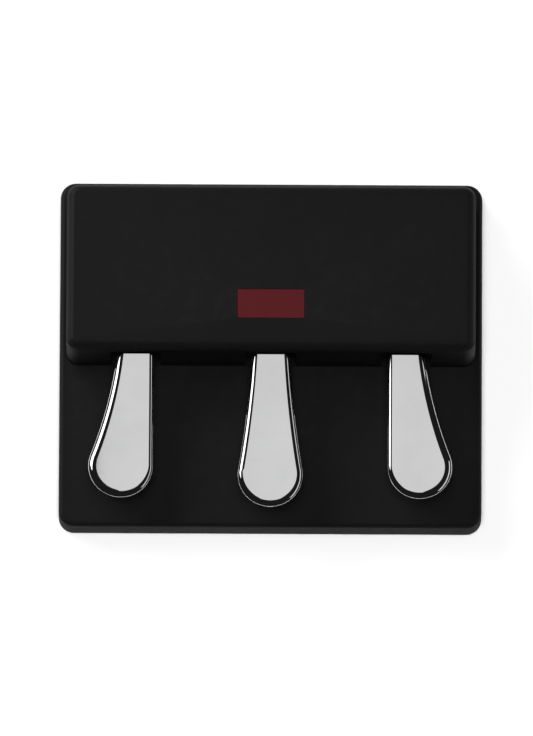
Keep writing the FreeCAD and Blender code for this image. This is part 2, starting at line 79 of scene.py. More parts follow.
def towards(azimuth, elevation):
    # Unit vector to a place in the studio; azimuth 0 is +X and 90 is +Y
    across = math.cos(math.radians(elevation))
    return Vector((across * math.cos(math.radians(azimuth)), across * math.sin(math.radians(azimuth)),
                   math.sin(math.radians(elevation))))


def placeCamera():
    data = bpy.data.cameras.new("camera")
    data.lens = cameraSetup["lens"]
    data.clip_end = cameraSetup["clipEnd"]
    camera = bpy.data.objects.new("camera", data)
    addToScene(camera)
    away = towards(cameraSetup["azimuth"], cameraSetup["elevation"])
    camera.location = Vector(cameraSetup["aim"]) + away * cameraSetup["distance"]
    camera.rotation_mode = "QUATERNION"
    roll = Quaternion((0, 0, 1), math.radians(cameraSetup["roll"]))
    camera.rotation_quaternion = away.to_track_quat("Z", "Y") @ roll
    bpy.context.scene.camera = camera


placeCamera()
print("camera placed")


# Shader helpers

def feed(tree, value, socket):
    # Numbers and colours are set on the socket, anything else is linked to it
    if isinstance(value, (int, float)):
        socket.default_value = value
    elif isinstance(value, tuple):
        socket.default_value = (*value, 1)
    else:
        tree.links.new(value, socket)


def newMaterial(name, sockets):
    material = bpy.data.materials.new(name)
    material.use_nodes = True
    tree = material.node_tree
    shader = tree.nodes["Principled BSDF"]
    for label, value in sockets.items():
        feed(tree, value, shader.inputs[label])
    return material, tree, shader


def addMath(tree, operation, first, second, clamp=False):
    node = tree.nodes.new("ShaderNodeMath")
    node.operation = operation
    node.use_clamp = clamp
    feed(tree, first, node.inputs[0])
    feed(tree, second, node.inputs[1])
    return node.outputs[0]


def addRange(tree, value, low, high, toLow=0.0, toHigh=1.0):
    node = tree.nodes.new("ShaderNodeMapRange")
    numbers = {"Value": value, "From Min": low, "From Max": high, "To Min": toLow, "To Max": toHigh}
    for label, number in numbers.items():
        feed(tree, number, node.inputs[label])
    return node.outputs["Result"]


def addNoise(tree, scale, detail, roughness, stretch=None):
    coordinates = tree.nodes.new("ShaderNodeTexCoord")
    place = coordinates.outputs["Object"]
    if stretch:
        mapping = tree.nodes.new("ShaderNodeMapping")
        mapping.inputs["Scale"].default_value = stretch
        tree.links.new(place, mapping.inputs["Vector"])
        place = mapping.outputs["Vector"]
    node = tree.nodes.new("ShaderNodeTexNoise")
    for label, value in {"Vector": place, "Scale": scale, "Detail": detail, "Roughness": roughness}.items():
        feed(tree, value, node.inputs[label])
    return node.outputs["Fac"]


# Studio: a soft sun that gloss doesn't show, and cards that it does

studio = {
    "sunStrength": 2.8, "sunAngle": 18.0, "sunAzimuth": -90.0, "sunElevation": 81.0, "sunDistance": 3.0,
    "floorColor": (0.88, 0.88, 0.88), "floorRoughness": 0.9, "floorGlow": 0.1,
    "floorSize": 60.0, "floorDrop": 0.05 * mm,
    "horizonTop": 0.05, "horizonGlow": 0.15, "roomBottom": 0.11, "roomGlow": 0.015,
}

# Where each card hangs, its width and height in metres, and its radiance
cards = {
    "leftCard": {"azimuth": 142, "elevation": 41.5, "distance": 1.5,
                 "width": 1.3, "height": 0.64, "radiance": 3.4},
    "rightCard": {"azimuth": -10, "elevation": 37, "distance": 1.8,
                  "width": 1.8, "height": 0.4, "radiance": 0.95},
}

# Hangs level over the unit, given by its edges
overheadCard = {
    "left": -0.138, "right": 0.17, "front": -0.17, "rear": 0.44,
    "height": 1.60, "radiance": 0.95,
}


def hang(lamp, azimuth, elevation, distance):
    away = towards(azimuth, elevation)
    lamp.location = away * distance
    lamp.rotation_mode = "QUATERNION"
    lamp.rotation_quaternion = away.to_track_quat("Z", "Y")
    addToScene(lamp)


def lightSun():
    data = bpy.data.lights.new("softSun", "SUN")
    data.energy = studio["sunStrength"]
    data.angle = math.radians(studio["sunAngle"])
    sun = bpy.data.objects.new("softSun", data)
    sun.visible_glossy = False
    hang(sun, studio["sunAzimuth"], studio["sunElevation"], studio["sunDistance"])


def newCard(name, width, height, radiance):
    data = bpy.data.lights.new(name, "AREA")
    data.shape = "RECTANGLE"
    data.size = width
    data.size_y = height
    data.energy = radiance * math.pi * width * height
    return bpy.data.objects.new(name, data)


def lightCards():
    for name, card in cards.items():
        lamp = newCard(name, card["width"], card["height"], card["radiance"])
        hang(lamp, card["azimuth"], card["elevation"], card["distance"])


def lightOverhead():
    left, right, front, rear = [overheadCard[edge] for edge in ("left", "right", "front", "rear")]
    lamp = newCard("overheadCard", right - left, rear - front, overheadCard["radiance"])
    lamp.location = ((left + right) / 2, (front + rear) / 2, overheadCard["height"])
    addToScene(lamp)


def lightRoom():
    # A pale band at the horizon and a dark room above it
    world = bpy.data.worlds.new("studioRoom")
    bpy.context.scene.world = world
    world.use_nodes = True
    tree = world.node_tree
    coordinates = tree.nodes.new("ShaderNodeTexCoord")
    parts = tree.nodes.new("ShaderNodeSeparateXYZ")
    ramp = tree.nodes.new("ShaderNodeValToRGB")
    tree.links.new(coordinates.outputs["Generated"], parts.inputs[0])
    tree.links.new(parts.outputs["Z"], ramp.inputs["Fac"])
    tree.links.new(ramp.outputs["Color"], tree.nodes["Background"].inputs["Color"])
    levels = ((studio["horizonTop"], studio["horizonGlow"]), (studio["roomBottom"], studio["roomGlow"]))
    for index, (position, glow) in enumerate(levels):
        stop = ramp.color_ramp.elements[index]
        stop.position = position
        stop.color = (glow, glow, glow, 1)


def layFloor():
    half = studio["floorSize"] / 2
    drop = -studio["floorDrop"]
    mesh = bpy.data.meshes.new("floor")
    corners = [(-half, -half, drop), (half, -half, drop), (half, half, drop), (-half, half, drop)]
    mesh.from_pydata(corners, [], [(0, 1, 2, 3)])
    floor = bpy.data.objects.new("floor", mesh)
    addToScene(floor)
    material, tree, shader = newMaterial("paleFloor", {
        "Base Color": studio["floorColor"], "Roughness": studio["floorRoughness"],
        "Specular IOR Level": 0.0, "Emission Color": (1, 1, 1)})
    rays = tree.nodes.new("ShaderNodeLightPath").outputs
    seen = addMath(tree, "MAXIMUM", rays["Is Camera Ray"], rays["Is Glossy Ray"])
    seen = addMath(tree, "MAXIMUM", seen, rays["Is Transmission Ray"])
    glow = addMath(tree, "MULTIPLY", seen, studio["floorGlow"])
    tree.links.new(glow, shader.inputs["Emission Strength"])
    mesh.materials.append(material)


lightSun()
lightOverhead()
lightCards()
lightRoom()
layFloor()
print("studio lit")


# Shader groups that several finishes share; their scales are per metre

texture = {
    "pitSoftness": 0.6, "fineScale": 2.3, "fineDepth": 0.6, "cloudScale": 34.0, "toneSpan": (0.3, 0.7),
    "patchScale": 120.0, "patchSpan": (0.35, 0.65),
    "lineStretch": (1.0, 0.03, 1.0),
    "scratchStretches": ((1.0, 0.04, 0.3), (0.05, 1.0, 0.3)), "scratchEdge": 0.06,
}


def newGroup(name, inputs, outputs):
    group = bpy.data.node_groups.new(name, "ShaderNodeTree")
    for label, value in inputs.items():
        socket = group.interface.new_socket(name=label, in_out="INPUT", socket_type="NodeSocketFloat")
        socket.default_value = value
    for label in outputs:
        group.interface.new_socket(name=label, in_out="OUTPUT", socket_type="NodeSocketFloat")
    start = group.nodes.new("NodeGroupInput")
    end = group.nodes.new("NodeGroupOutput")
    return group, start.outputs, end.inputs


def makeMouldGrain():
    # Fine eroded mould texture: small rounded pits with a finer noise over them
    group, given, result = newGroup("mouldGrain", {"Scale": 900.0}, ("Height", "Tone"))
    coordinates = group.nodes.new("ShaderNodeTexCoord")
    cells = group.nodes.new("ShaderNodeTexVoronoi")
    cells.feature = "SMOOTH_F1"
    cells.inputs["Smoothness"].default_value = texture["pitSoftness"]
    group.links.new(coordinates.outputs["Object"], cells.inputs["Vector"])
    group.links.new(given["Scale"], cells.inputs["Scale"])
    fineScale = addMath(group, "MULTIPLY", given["Scale"], texture["fineScale"])
    fine = addNoise(group, fineScale, detail=2.0, roughness=0.6)
    fineDepth = addMath(group, "MULTIPLY", fine, texture["fineDepth"])
    group.links.new(addMath(group, "ADD", cells.outputs["Distance"], fineDepth), result["Height"])
    cloud = addNoise(group, texture["cloudScale"], detail=4.0, roughness=0.6)
    group.links.new(addRange(group, cloud, *texture["toneSpan"]), result["Tone"])
    return group


def makeEdgeRub():
    # Edges that hands and shoes have polished, broken up by noise
    group, given, result = newGroup("edgeRub", {"Start": 0.51, "Full": 0.58, "Patchiness": 0.5}, ("Mask",))
    shape = group.nodes.new("ShaderNodeNewGeometry")
    edge = addRange(group, shape.outputs["Pointiness"], given["Start"], given["Full"])
    cloud = addNoise(group, texture["patchScale"], detail=4.0, roughness=0.65)
    patches = addRange(group, cloud, *texture["patchSpan"])
    keep = addMath(group, "SUBTRACT", 1.0, given["Patchiness"])
    amount = addMath(group, "MAXIMUM", patches, keep)
    group.links.new(addMath(group, "MULTIPLY", edge, amount, clamp=True), result["Mask"])
    return group


def makeSmudge():
    # Broad, faint patches left by handling
    group, given, result = newGroup("smudge", {"Scale": 14.0, "Spread": 0.3}, ("Mask",))
    cloud = addNoise(group, given["Scale"], detail=5.0, roughness=0.6)
    low = addMath(group, "SUBTRACT", 0.5, given["Spread"])
    high = addMath(group, "ADD", 0.5, given["Spread"])
    group.links.new(addRange(group, cloud, low, high), result["Mask"])
    return group


def makePaintedShadeSheen():
    # One on the tops, where the sheen is whole, and nothing on upright faces and on those that lean to
    # the front: painted shade, the coat's sheen taken off by the way a face points
    limits = {"Front": -0.57, "Back": -0.14, "Upright": 0.3, "Level": 0.62}
    group, given, result = newGroup("paintedShadeSheen", limits, ("Mask",))
    shape = group.nodes.new("ShaderNodeNewGeometry")
    parts = group.nodes.new("ShaderNodeSeparateXYZ")
    group.links.new(shape.outputs["Normal"], parts.inputs[0])
    lean = addRange(group, parts.outputs["Y"], given["Front"], given["Back"])
    rise = addRange(group, parts.outputs["Z"], given["Upright"], given["Level"])
    group.links.new(addMath(group, "MULTIPLY", lean, rise), result["Mask"])
    return group


def makeDrawnLines():
    # Lines that rolling or drawing leaves in metal, along Y
    group, given, result = newGroup("drawnLines", {"Scale": 900.0}, ("Height", "Tone"))
    lines = addNoise(group, given["Scale"], detail=3.0, roughness=0.6, stretch=texture["lineStretch"])
    group.links.new(lines, result["Height"])
    group.links.new(addRange(group, lines, *texture["toneSpan"]), result["Tone"])
    return group


def makeHairScratches():
    # Sparse hair-fine scratches, from two crossed stretched noises
    group, given, result = newGroup("hairScratches", {"Scale": 500.0, "Density": 0.66}, ("Mask",))
    full = addMath(group, "ADD", given["Density"], texture["scratchEdge"])
    lines = []
    for stretch in texture["scratchStretches"]:
        noise = addNoise(group, given["Scale"], detail=2.0, roughness=0.5, stretch=stretch)
        lines.append(addRange(group, noise, given["Density"], full))
    group.links.new(addMath(group, "MAXIMUM", lines[0], lines[1]), result["Mask"])
    return group


groups = {
    "mouldGrain": makeMouldGrain(),
    "edgeRub": makeEdgeRub(),
    "smudge": makeSmudge(),
    "paintedShadeSheen": makePaintedShadeSheen(),
    "drawnLines": makeDrawnLines(),
    "hairScratches": makeHairScratches(),
}
print("shader groups built:", len(groups))


# Finishes

def placeGroup(tree, name, **values):
    node = tree.nodes.new("ShaderNodeGroup")
    node.node_tree = groups[name]
    for label, value in values.items():
        node.inputs[label].default_value = value
    return node.outputs


def blendColors(tree, mask, first, second):
    node = tree.nodes.new("ShaderNodeMix")
    node.data_type = "RGBA"
    tree.links.new(mask, node.inputs["Factor"])
    colorInputs = [socket for socket in node.inputs if socket.type == "RGBA"]
    for socket, color in zip(colorInputs, (first, second)):
        feed(tree, color, socket)
    return [socket for socket in node.outputs if socket.type == "RGBA"][0]


def addBump(tree, shader, height, strength, distance):
    bump = tree.nodes.new("ShaderNodeBump")
    bump.inputs["Strength"].default_value = strength
    bump.inputs["Distance"].default_value = distance
    tree.links.new(height, bump.inputs["Height"])
    tree.links.new(bump.outputs["Normal"], shader.inputs["Normal"])


def tint(tree, shader, look, tone, rub):
    # Two tones in clouds, with the rubbed edges over them
    clouds = blendColors(tree, tone, look["dark"], look["light"])
    tree.links.new(blendColors(tree, rub, clouds, look["worn"]), shader.inputs["Base Color"])


def roughen(tree, shader, look, tone):
    rough = addRange(tree, tone, 0.0, 1.0, look["roughness"], look["roughness"] + look["spread"])
    tree.links.new(rough, shader.inputs["Roughness"])


def satinPlastic(name, look):
    # Black moulding: eroded grain, faint clouds of tone, and a satin sheen with painted shade, taken off
    # upright faces and faces that lean to the front
    material, tree, shader = newMaterial(name, {
        "Specular IOR Level": look["specular"], "Coat Roughness": look["coatRoughness"]})
    # Painted shade: the coat's weight falls to nothing on upright and front-leaning faces
    coat = addMath(tree, "MULTIPLY", placeGroup(tree, "paintedShadeSheen")["Mask"], look["coat"])
    tree.links.new(coat, shader.inputs["Coat Weight"])
    grain = placeGroup(tree, "mouldGrain", Scale=look["grainScale"])
    rub = placeGroup(tree, "edgeRub", Start=look["rubStart"], Full=look["rubFull"])["Mask"]
    smudge = placeGroup(tree, "smudge", Scale=look["smudgeScale"])["Mask"]
    tint(tree, shader, look, grain["Tone"], rub)
    smooth, rough = look["roughness"] - look["smoother"], look["roughness"] + look["rougher"]
    polish = addMath(tree, "MULTIPLY", rub, look["polish"])
    rough = addMath(tree, "SUBTRACT", addRange(tree, smudge, 0.0, 1.0, smooth, rough), polish)
    tree.links.new(rough, shader.inputs["Roughness"])
    addBump(tree, shader, grain["Height"], look["grain"], look["grainDepth"])
    return material


def chromePlate(name, look):
    # Bright plate with a faint waviness and hair scratches
    material, tree, shader = newMaterial(name, {"Metallic": 1.0})
    smudge = placeGroup(tree, "smudge", Scale=look["smudgeScale"], Spread=look["smudgeSpread"])["Mask"]
    scratches = placeGroup(tree, "hairScratches", Scale=look["scratchScale"],
                           Density=look["scratchDensity"])["Mask"]
    color = blendColors(tree, smudge, look["dark"], look["light"])
    tree.links.new(color, shader.inputs["Base Color"])
    film = addRange(tree, smudge, 0.0, 1.0, look["roughness"], look["smudged"])
    scored = addMath(tree, "MULTIPLY", scratches, look["scored"])
    tree.links.new(addMath(tree, "ADD", film, scored), shader.inputs["Roughness"])
    wave = addNoise(tree, look["waveScale"], detail=2.0, roughness=0.4)
    addBump(tree, shader, wave, look["wave"], look["waveDepth"])
    return material


def lacquer(name, look):
    material, tree, shader = newMaterial(name, {"Specular IOR Level": look["specular"]})
    smudge = placeGroup(tree, "smudge", Scale=look["smudgeScale"])["Mask"]
    rub = placeGroup(tree, "edgeRub", Start=look["rubStart"], Full=look["rubFull"])["Mask"]
    tint(tree, shader, look, smudge, rub)
    roughen(tree, shader, look, smudge)
    grain = addNoise(tree, look["grainScale"], detail=2.0, roughness=0.5)
    addBump(tree, shader, grain, look["grain"], look["grainDepth"])
    return material


def platedSteel(name, look):
    # Drawn or pressed steel: fine lines, spots of duller plating, brighter edges
    material, tree, shader = newMaterial(name, {"Metallic": 1.0})
    lines = placeGroup(tree, "drawnLines", Scale=look["lineScale"])
    smudge = placeGroup(tree, "smudge", Scale=look["smudgeScale"])["Mask"]
    rub = placeGroup(tree, "edgeRub", Start=look["rubStart"], Full=look["rubFull"],
                     Patchiness=look["patchiness"])["Mask"]
    tint(tree, shader, look, smudge, rub)
    roughen(tree, shader, look, lines["Tone"])
    addBump(tree, shader, lines["Height"], look["lines"], look["lineDepth"])
    return material


def softSurface(name, look):
    # Rubber, nylon and felt: one body colour, a grain and its own wear
    material, tree, shader = newMaterial(name, {"Specular IOR Level": look["specular"]})
    grain = placeGroup(tree, "mouldGrain", Scale=look["grainScale"])
    rub = placeGroup(tree, "edgeRub", Start=look["rubStart"], Full=look["rubFull"])["Mask"]
    tint(tree, shader, look, grain["Tone"], rub)
    roughen(tree, shader, look, grain["Tone"])
    addBump(tree, shader, grain["Height"], look["grain"], look["grainDepth"])
    return material


def boardLaminate(name, look):
    # Solder mask with copper tracks faintly raised under it
    material, tree, shader = newMaterial(name, {})
    tracks = tree.nodes.new("ShaderNodeTexBrick")
    black, white = (0, 0, 0), (1, 1, 1)
    settings = {"Scale": look["trackScale"], "Mortar Size": look["trackWidth"],
                "Color1": black, "Color2": black, "Mortar": white}
    for label, value in settings.items():
        feed(tree, value, tracks.inputs[label])
    coordinates = tree.nodes.new("ShaderNodeTexCoord")
    tree.links.new(coordinates.outputs["Object"], tracks.inputs["Vector"])
    smudge = placeGroup(tree, "smudge", Scale=look["smudgeScale"])["Mask"]
    tint(tree, shader, look, smudge, tracks.outputs["Fac"])
    roughen(tree, shader, look, smudge)
    addBump(tree, shader, tracks.outputs["Fac"], look["relief"], look["reliefDepth"])
    return material


blackLook = {
    "dark": (0.0042, 0.0042, 0.0043), "light": (0.005, 0.005, 0.0051), "worn": (0.009, 0.009, 0.0092),
    "specular": 0.1, "roughness": 0.75, "smoother": 0.02, "rougher": 0.03, "smudgeScale": 9.0,
    "coat": 0.38, "coatRoughness": 0.48, "polish": 0.06, "rubStart": 0.505, "rubFull": 0.56,
    "grainScale": 1300.0, "grain": 0.22, "grainDepth": 0.05 * mm,
}
paintLook = {
    **blackLook, "dark": (0.02, 0.02, 0.021), "light": (0.028, 0.028, 0.03), "worn": (0.12, 0.12, 0.12),
    "specular": 0.4, "roughness": 0.38,
}
chromeLook = {
    "dark": (0.585, 0.585, 0.59), "light": (0.655, 0.655, 0.66),
    "roughness": 0.025, "smudged": 0.045, "smudgeScale": 22.0, "smudgeSpread": 0.25,
    "scratchScale": 420.0, "scratchDensity": 0.68, "scored": 0.008,
    "waveScale": 30.0, "wave": 0.012, "waveDepth": 1.0 * mm,
}
badgeLook = {
    "dark": (0.072, 0.0075, 0.0100), "light": (0.080, 0.0085, 0.011), "worn": (0.09, 0.012, 0.015),
    "specular": 0.25, "roughness": 0.5, "spread": 0.06, "smudgeScale": 60.0,
    "rubStart": 0.52, "rubFull": 0.62, "grainScale": 900.0, "grain": 0.08, "grainDepth": 0.03 * mm,
}
zincLook = {
    "dark": (0.40, 0.40, 0.405), "light": (0.50, 0.50, 0.51), "worn": (0.62, 0.62, 0.62),
    "roughness": 0.26, "spread": 0.12, "smudgeScale": 40.0, "rubStart": 0.53, "rubFull": 0.66,
    "patchiness": 0.3, "lineScale": 900.0, "lines": 0.25, "lineDepth": 0.03 * mm,
}
screwLook = {**zincLook, "dark": (0.30, 0.30, 0.31), "light": (0.38, 0.38, 0.39), "roughness": 0.22}
springLook = {
    **zincLook, "dark": (0.20, 0.20, 0.21), "light": (0.30, 0.30, 0.31), "worn": (0.4, 0.4, 0.41),
    "roughness": 0.24,
}
matLook = {
    "dark": (0.014, 0.014, 0.014), "light": (0.022, 0.022, 0.022), "worn": (0.045, 0.044, 0.042),
    "specular": 0.3, "roughness": 0.72, "spread": 0.08, "rubStart": 0.52, "rubFull": 0.64,
    "grainScale": 900.0, "grain": 0.5, "grainDepth": 0.08 * mm,
}
bufferLook = {**matLook, "roughness": 0.6, "grain": 0.3}
feltLook = {
    **matLook, "dark": (0.13, 0.125, 0.12), "light": (0.22, 0.21, 0.20), "worn": (0.27, 0.26, 0.25),
    "specular": 0.1, "roughness": 0.9, "grainScale": 2200.0, "grain": 1.0, "grainDepth": 0.3 * mm,
}
paleNylonLook = {
    **matLook, "dark": (0.62, 0.61, 0.56), "light": (0.72, 0.71, 0.66), "worn": (0.78, 0.77, 0.73),
    "specular": 0.5, "roughness": 0.42, "grainScale": 1500.0, "grain": 0.2, "grainDepth": 0.03 * mm,
}
blackNylonLook = {
    **paleNylonLook, "dark": (0.009, 0.009, 0.0095), "light": (0.014, 0.014, 0.0145),
    "worn": (0.03, 0.03, 0.03), "roughness": 0.44, "grain": 0.25,
}
glandLook = {
    **blackNylonLook, "dark": (0.008, 0.008, 0.0085), "light": (0.013, 0.013, 0.0135),
    "roughness": 0.36, "grain": 0.2,
}
boardLook = {
    "dark": (0.008, 0.065, 0.025), "light": (0.014, 0.085, 0.034), "worn": (0.03, 0.15, 0.06),
    "roughness": 0.28, "spread": 0.12, "smudgeScale": 50.0,
    "trackScale": 130.0, "trackWidth": 0.06, "relief": 0.4, "reliefDepth": 0.03 * mm,
}

finishes = {
    "satin_black": satinPlastic("satinBlackTray", blackLook),
    "satin_black_housing": satinPlastic("satinBlackCover", blackLook),
    "pedal_chrome": chromePlate("pedalChrome", chromeLook),
    "red_enamel": lacquer("redLacquer", badgeLook),
    "mat_rubber": softSurface("matRubber", matLook),
    "black_rubber": softSurface("bufferRubber", bufferLook),
    "bottom_steel": satinPlastic("paintedSteel", paintLook),
    "zinc_steel": platedSteel("zincSteel", zincLook),
    "screw_steel": platedSteel("screwSteel", screwLook),
    "spring_steel": platedSteel("springSteel", springLook),
    "white_nylon": softSurface("naturalNylon", paleNylonLook),
    "black_nylon": softSurface("blackNylon", blackNylonLook),
    "grey_felt": softSurface("greyFelt", feltLook),
    "board_green": boardLaminate("solderMask", boardLook),
    "gland_black": softSurface("glandNylon", glandLook),
}
print("finishes made:", len(finishes))


def dressNodes():
    # Every carried-over part takes the finish of its own slot
    for part in frame["record"]["subparts"]:
        mesh = nodes[part["node"]]
        finish = finishes[part["material_slot"]]
        if not mesh.material_slots:
            mesh.data.materials.append(finish)
        for place in mesh.material_slots:
            place.material = finish


dressNodes()
print("carried-over parts dressed")


# Mesh helpers

leastCorner = 0.2 * mm
postSink = 0.5 * mm  # how far a boss runs into the wall that carries it


def onCircle(x, y, radius, angle):
    return x + radius * math.cos(angle), y + radius * math.sin(angle)


def circleOutline(x, y, radius, steps):
    return [onCircle(x, y, radius, math.tau * step / steps) for step in range(steps)]


def insetOutline(low, high, radius, inset, steps):
    # Anticlockwise from the front left corner of a rectangle with round corners, set in from a box
    radius = max(radius - inset, leastCorner)
    left, right = low[0] + inset + radius, high[0] - inset - radius
    front, rear = low[1] + inset + radius, high[1] - inset - radius
    points = []
    for quarter, (x, y) in enumerate(((left, front), (right, front), (right, rear), (left, rear))):
        for step in range(steps + 1):
            points.append(onCircle(x, y, radius, math.pi + (quarter + step / steps) * math.pi / 2))
    return points


def addRing(mesh, outline, z):
    return [mesh.verts.new((x, y, z)) for x, y in outline]


def addSkin(mesh, low, high, corner, steps, profile):
    # A ring round a box for each inset and height of a profile
    return [addRing(mesh, insetOutline(low, high, corner, inset, steps), z) for inset, z in profile]


def joinRings(mesh, lower, upper, skip=()):
    count = len(lower)
    for index in range(count):
        following = (index + 1) % count
        if index not in skip:
            mesh.faces.new((lower[index], lower[following], upper[following], upper[index]))


def joinAll(mesh, rings, closed=False):
    # closed also joins the last ring to the first
    for lower, upper in zip(rings, rings[1:] + rings[:1] if closed else rings[1:]):
        joinRings(mesh, lower, upper)


def joinRows(mesh, first, second):
    for index in range(len(first) - 1):
        mesh.faces.new((first[index], first[index + 1], second[index + 1], second[index]))


def fillFlat(mesh, rings):
    # One flat face between an outline and the holes inside it
    edges = []
    for ring in rings:
        for index, vertex in enumerate(ring):
            following = ring[(index + 1) % len(ring)]
            edges.append(mesh.edges.get((vertex, following)) or mesh.edges.new((vertex, following)))
    bmesh.ops.triangle_fill(mesh, use_beauty=True, use_dissolve=False, edges=edges)


def quarterTurn(steps):
    # Sine and cosine along a quarter circle
    angles = [math.pi / 2 * step / steps for step in range(steps + 1)]
    return [(math.sin(angle), math.cos(angle)) for angle in angles]


def upperEdge(edge, top, steps):
    # Insets and heights up a round edge to a flat top
    return [(edge * (1 - cosine), top - edge * (1 - sine)) for sine, cosine in quarterTurn(steps)]


def lowerEdge(edge, bottom, steps):
    # Insets and heights from a flat bottom up a round edge
    return [(edge * (1 - sine), bottom + edge * (1 - cosine)) for sine, cosine in quarterTurn(steps)]


def addPost(mesh, x, y, low, high, radius, bore=0.0, boreDepth=0.0, steps=32):
    # A round boss with a blind hole in its lower end
    end, top = [addRing(mesh, circleOutline(x, y, radius, steps), z) for z in (low, high)]
    joinRings(mesh, end, top)
    mesh.faces.new(top)
    if bore:
        rim = end
        mouth, end = [addRing(mesh, circleOutline(x, y, bore, steps), z) for z in (low, low + boreDepth)]
        joinRings(mesh, mouth, rim)
        joinRings(mesh, end, mouth)
    mesh.faces.new(list(reversed(end)))


def finishPiece(name, mesh, body, slot, sharpAngle=38.0):
    bmesh.ops.recalc_face_normals(mesh, faces=mesh.faces)
    data = bpy.data.meshes.new(name)
    mesh.to_mesh(data)
    mesh.free()
    data.materials.append(finishes[slot])
    for face in data.polygons:
        face.use_smooth = True
    data.set_sharp_from_angle(angle=math.radians(sharpAngle))
    piece = bpy.data.objects.new(name, data)
    addToScene(piece)
    weighted = piece.modifiers.new("evenNormals", "WEIGHTED_NORMAL")
    weighted.keep_sharp = True
    if body:
        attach(piece, body)
    return piece


# Cover box over the mechanism

coverBox = {
    "cornerRadius": 8.5 * mm, "edgeRadius": 6 * mm, "wall": 3 * mm,
    "slotWidth": 35 * mm, "slotTop": 68 * mm, "slotCorner": 4.5 * mm, "slotRim": 1.0 * mm,
    "glandHole": 5.1 * mm, "glandHeight": 44 * mm,
    "badgeGap": 0.28 * mm, "badgeCorner": 1.3 * mm, "topMargin": 1.2 * mm,
    "bossRadius": 4.5 * mm, "bossBore": 2.05 * mm, "bossBoreDepth": 9 * mm, "bossInset": 8.5 * mm,
    "cornerSteps": 16, "edgeSteps": 14, "rimSteps": 6, "slotSteps": 10, "glandHoleSteps": 8,
}


def pedalCentre(side):
    low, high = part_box(f"{side}_pivot_pin")
    return (low.x + high.x) / 2


def slotPath(centre, bottom, grow):
    # Up one side of a slot, over its top and down the other side, as X and Z
    half = coverBox["slotWidth"] / 2
    radius = coverBox["slotCorner"]
    steps = coverBox["slotSteps"]
    path = [(centre - half - grow, bottom)]
    for place, start in ((-1, 180), (1, 90)):
        x, z = centre + place * (half - radius), coverBox["slotTop"] - radius
        for step in range(steps + 1):
            path.append(onCircle(x, z, radius + grow, math.radians(start - 90 * step / steps)))
    path.append((centre + half + grow, bottom))
    return path


def addSlot(mesh, centre, low):
    # Rows of points from the front face round the rim and through the wall
    rim = coverBox["slotRim"]
    depths = [(rim * (1 - sine), rim * (1 - cosine)) for sine, cosine in quarterTurn(coverBox["rimSteps"])]
    rows = []
    for grow, depth in depths + [(0.0, coverBox["wall"])]:
        rows.append([mesh.verts.new((x, low.y + depth, z)) for x, z in slotPath(centre, low.z, grow)])
    for outer, inner in zip(rows, rows[1:]):
        joinRows(mesh, outer, inner)
    return rows


def addFrontPanels(mesh, outer, inner, slots):
    # outer and inner are the low and high ring of each skin; the slots break both and the lower rim
    first = coverBox["cornerSteps"]
    second = first + 1
    for (low, high), row in ((outer, 0), (inner, -1)):
        panel = [low[first]]
        for rows in slots:
            panel += rows[row]
        mesh.faces.new(panel + [low[second], high[second], high[first]])
    lefts = [[outer[0][first], inner[0][first]]] + [[row[-1] for row in rows] for rows in slots]
    rights = [[row[0] for row in rows] for rows in slots] + [[outer[0][second], inner[0][second]]]
    for left, right in zip(lefts, rights):
        mesh.faces.new(list(reversed(left)) + right)


def addRearPanels(mesh, outer, inner, rear):
    # The rear wall of both skins with the gland's hole through them
    first = 3 * coverBox["cornerSteps"] + 2
    second = first + 1
    steps = coverBox["glandHoleSteps"]
    rings = []
    for (bottom, top), y in ((outer, rear), (inner, rear - coverBox["wall"])):
        hole = []
        for step in range(4 * steps):
            angle = math.radians(225) + math.tau * step / (4 * steps)
            x, z = onCircle(0, coverBox["glandHeight"], coverBox["glandHole"], angle)
            hole.append(mesh.verts.new((-x, y, z)))
        corners = [bottom[first], bottom[second], top[second], top[first]]
        for side in range(4):
            arc = [hole[(side * steps + step) % len(hole)] for step in range(steps, -1, -1)]
            mesh.faces.new([corners[side], corners[(side + 1) % 4]] + arc)
        rings.append(hole)
    joinAll(mesh, rings)


def coverBossPlaces(low, high):
    # Beside the pedals and in the corners
    inset = coverBox["wall"] + coverBox["bossInset"]
    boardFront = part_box("circuit_board")[0].y
    places = []
    for side in (-1, 1):
        corner = side * (high.x - inset)
        between = side * (pedalCentre("right") - pedalCentre("middle")) / 2
        places += [(corner, low.y + inset), (corner, high.y - inset)]
        places += [(between, low.y + inset), (between, boardFront - coverBox["bossInset"])]
    return places


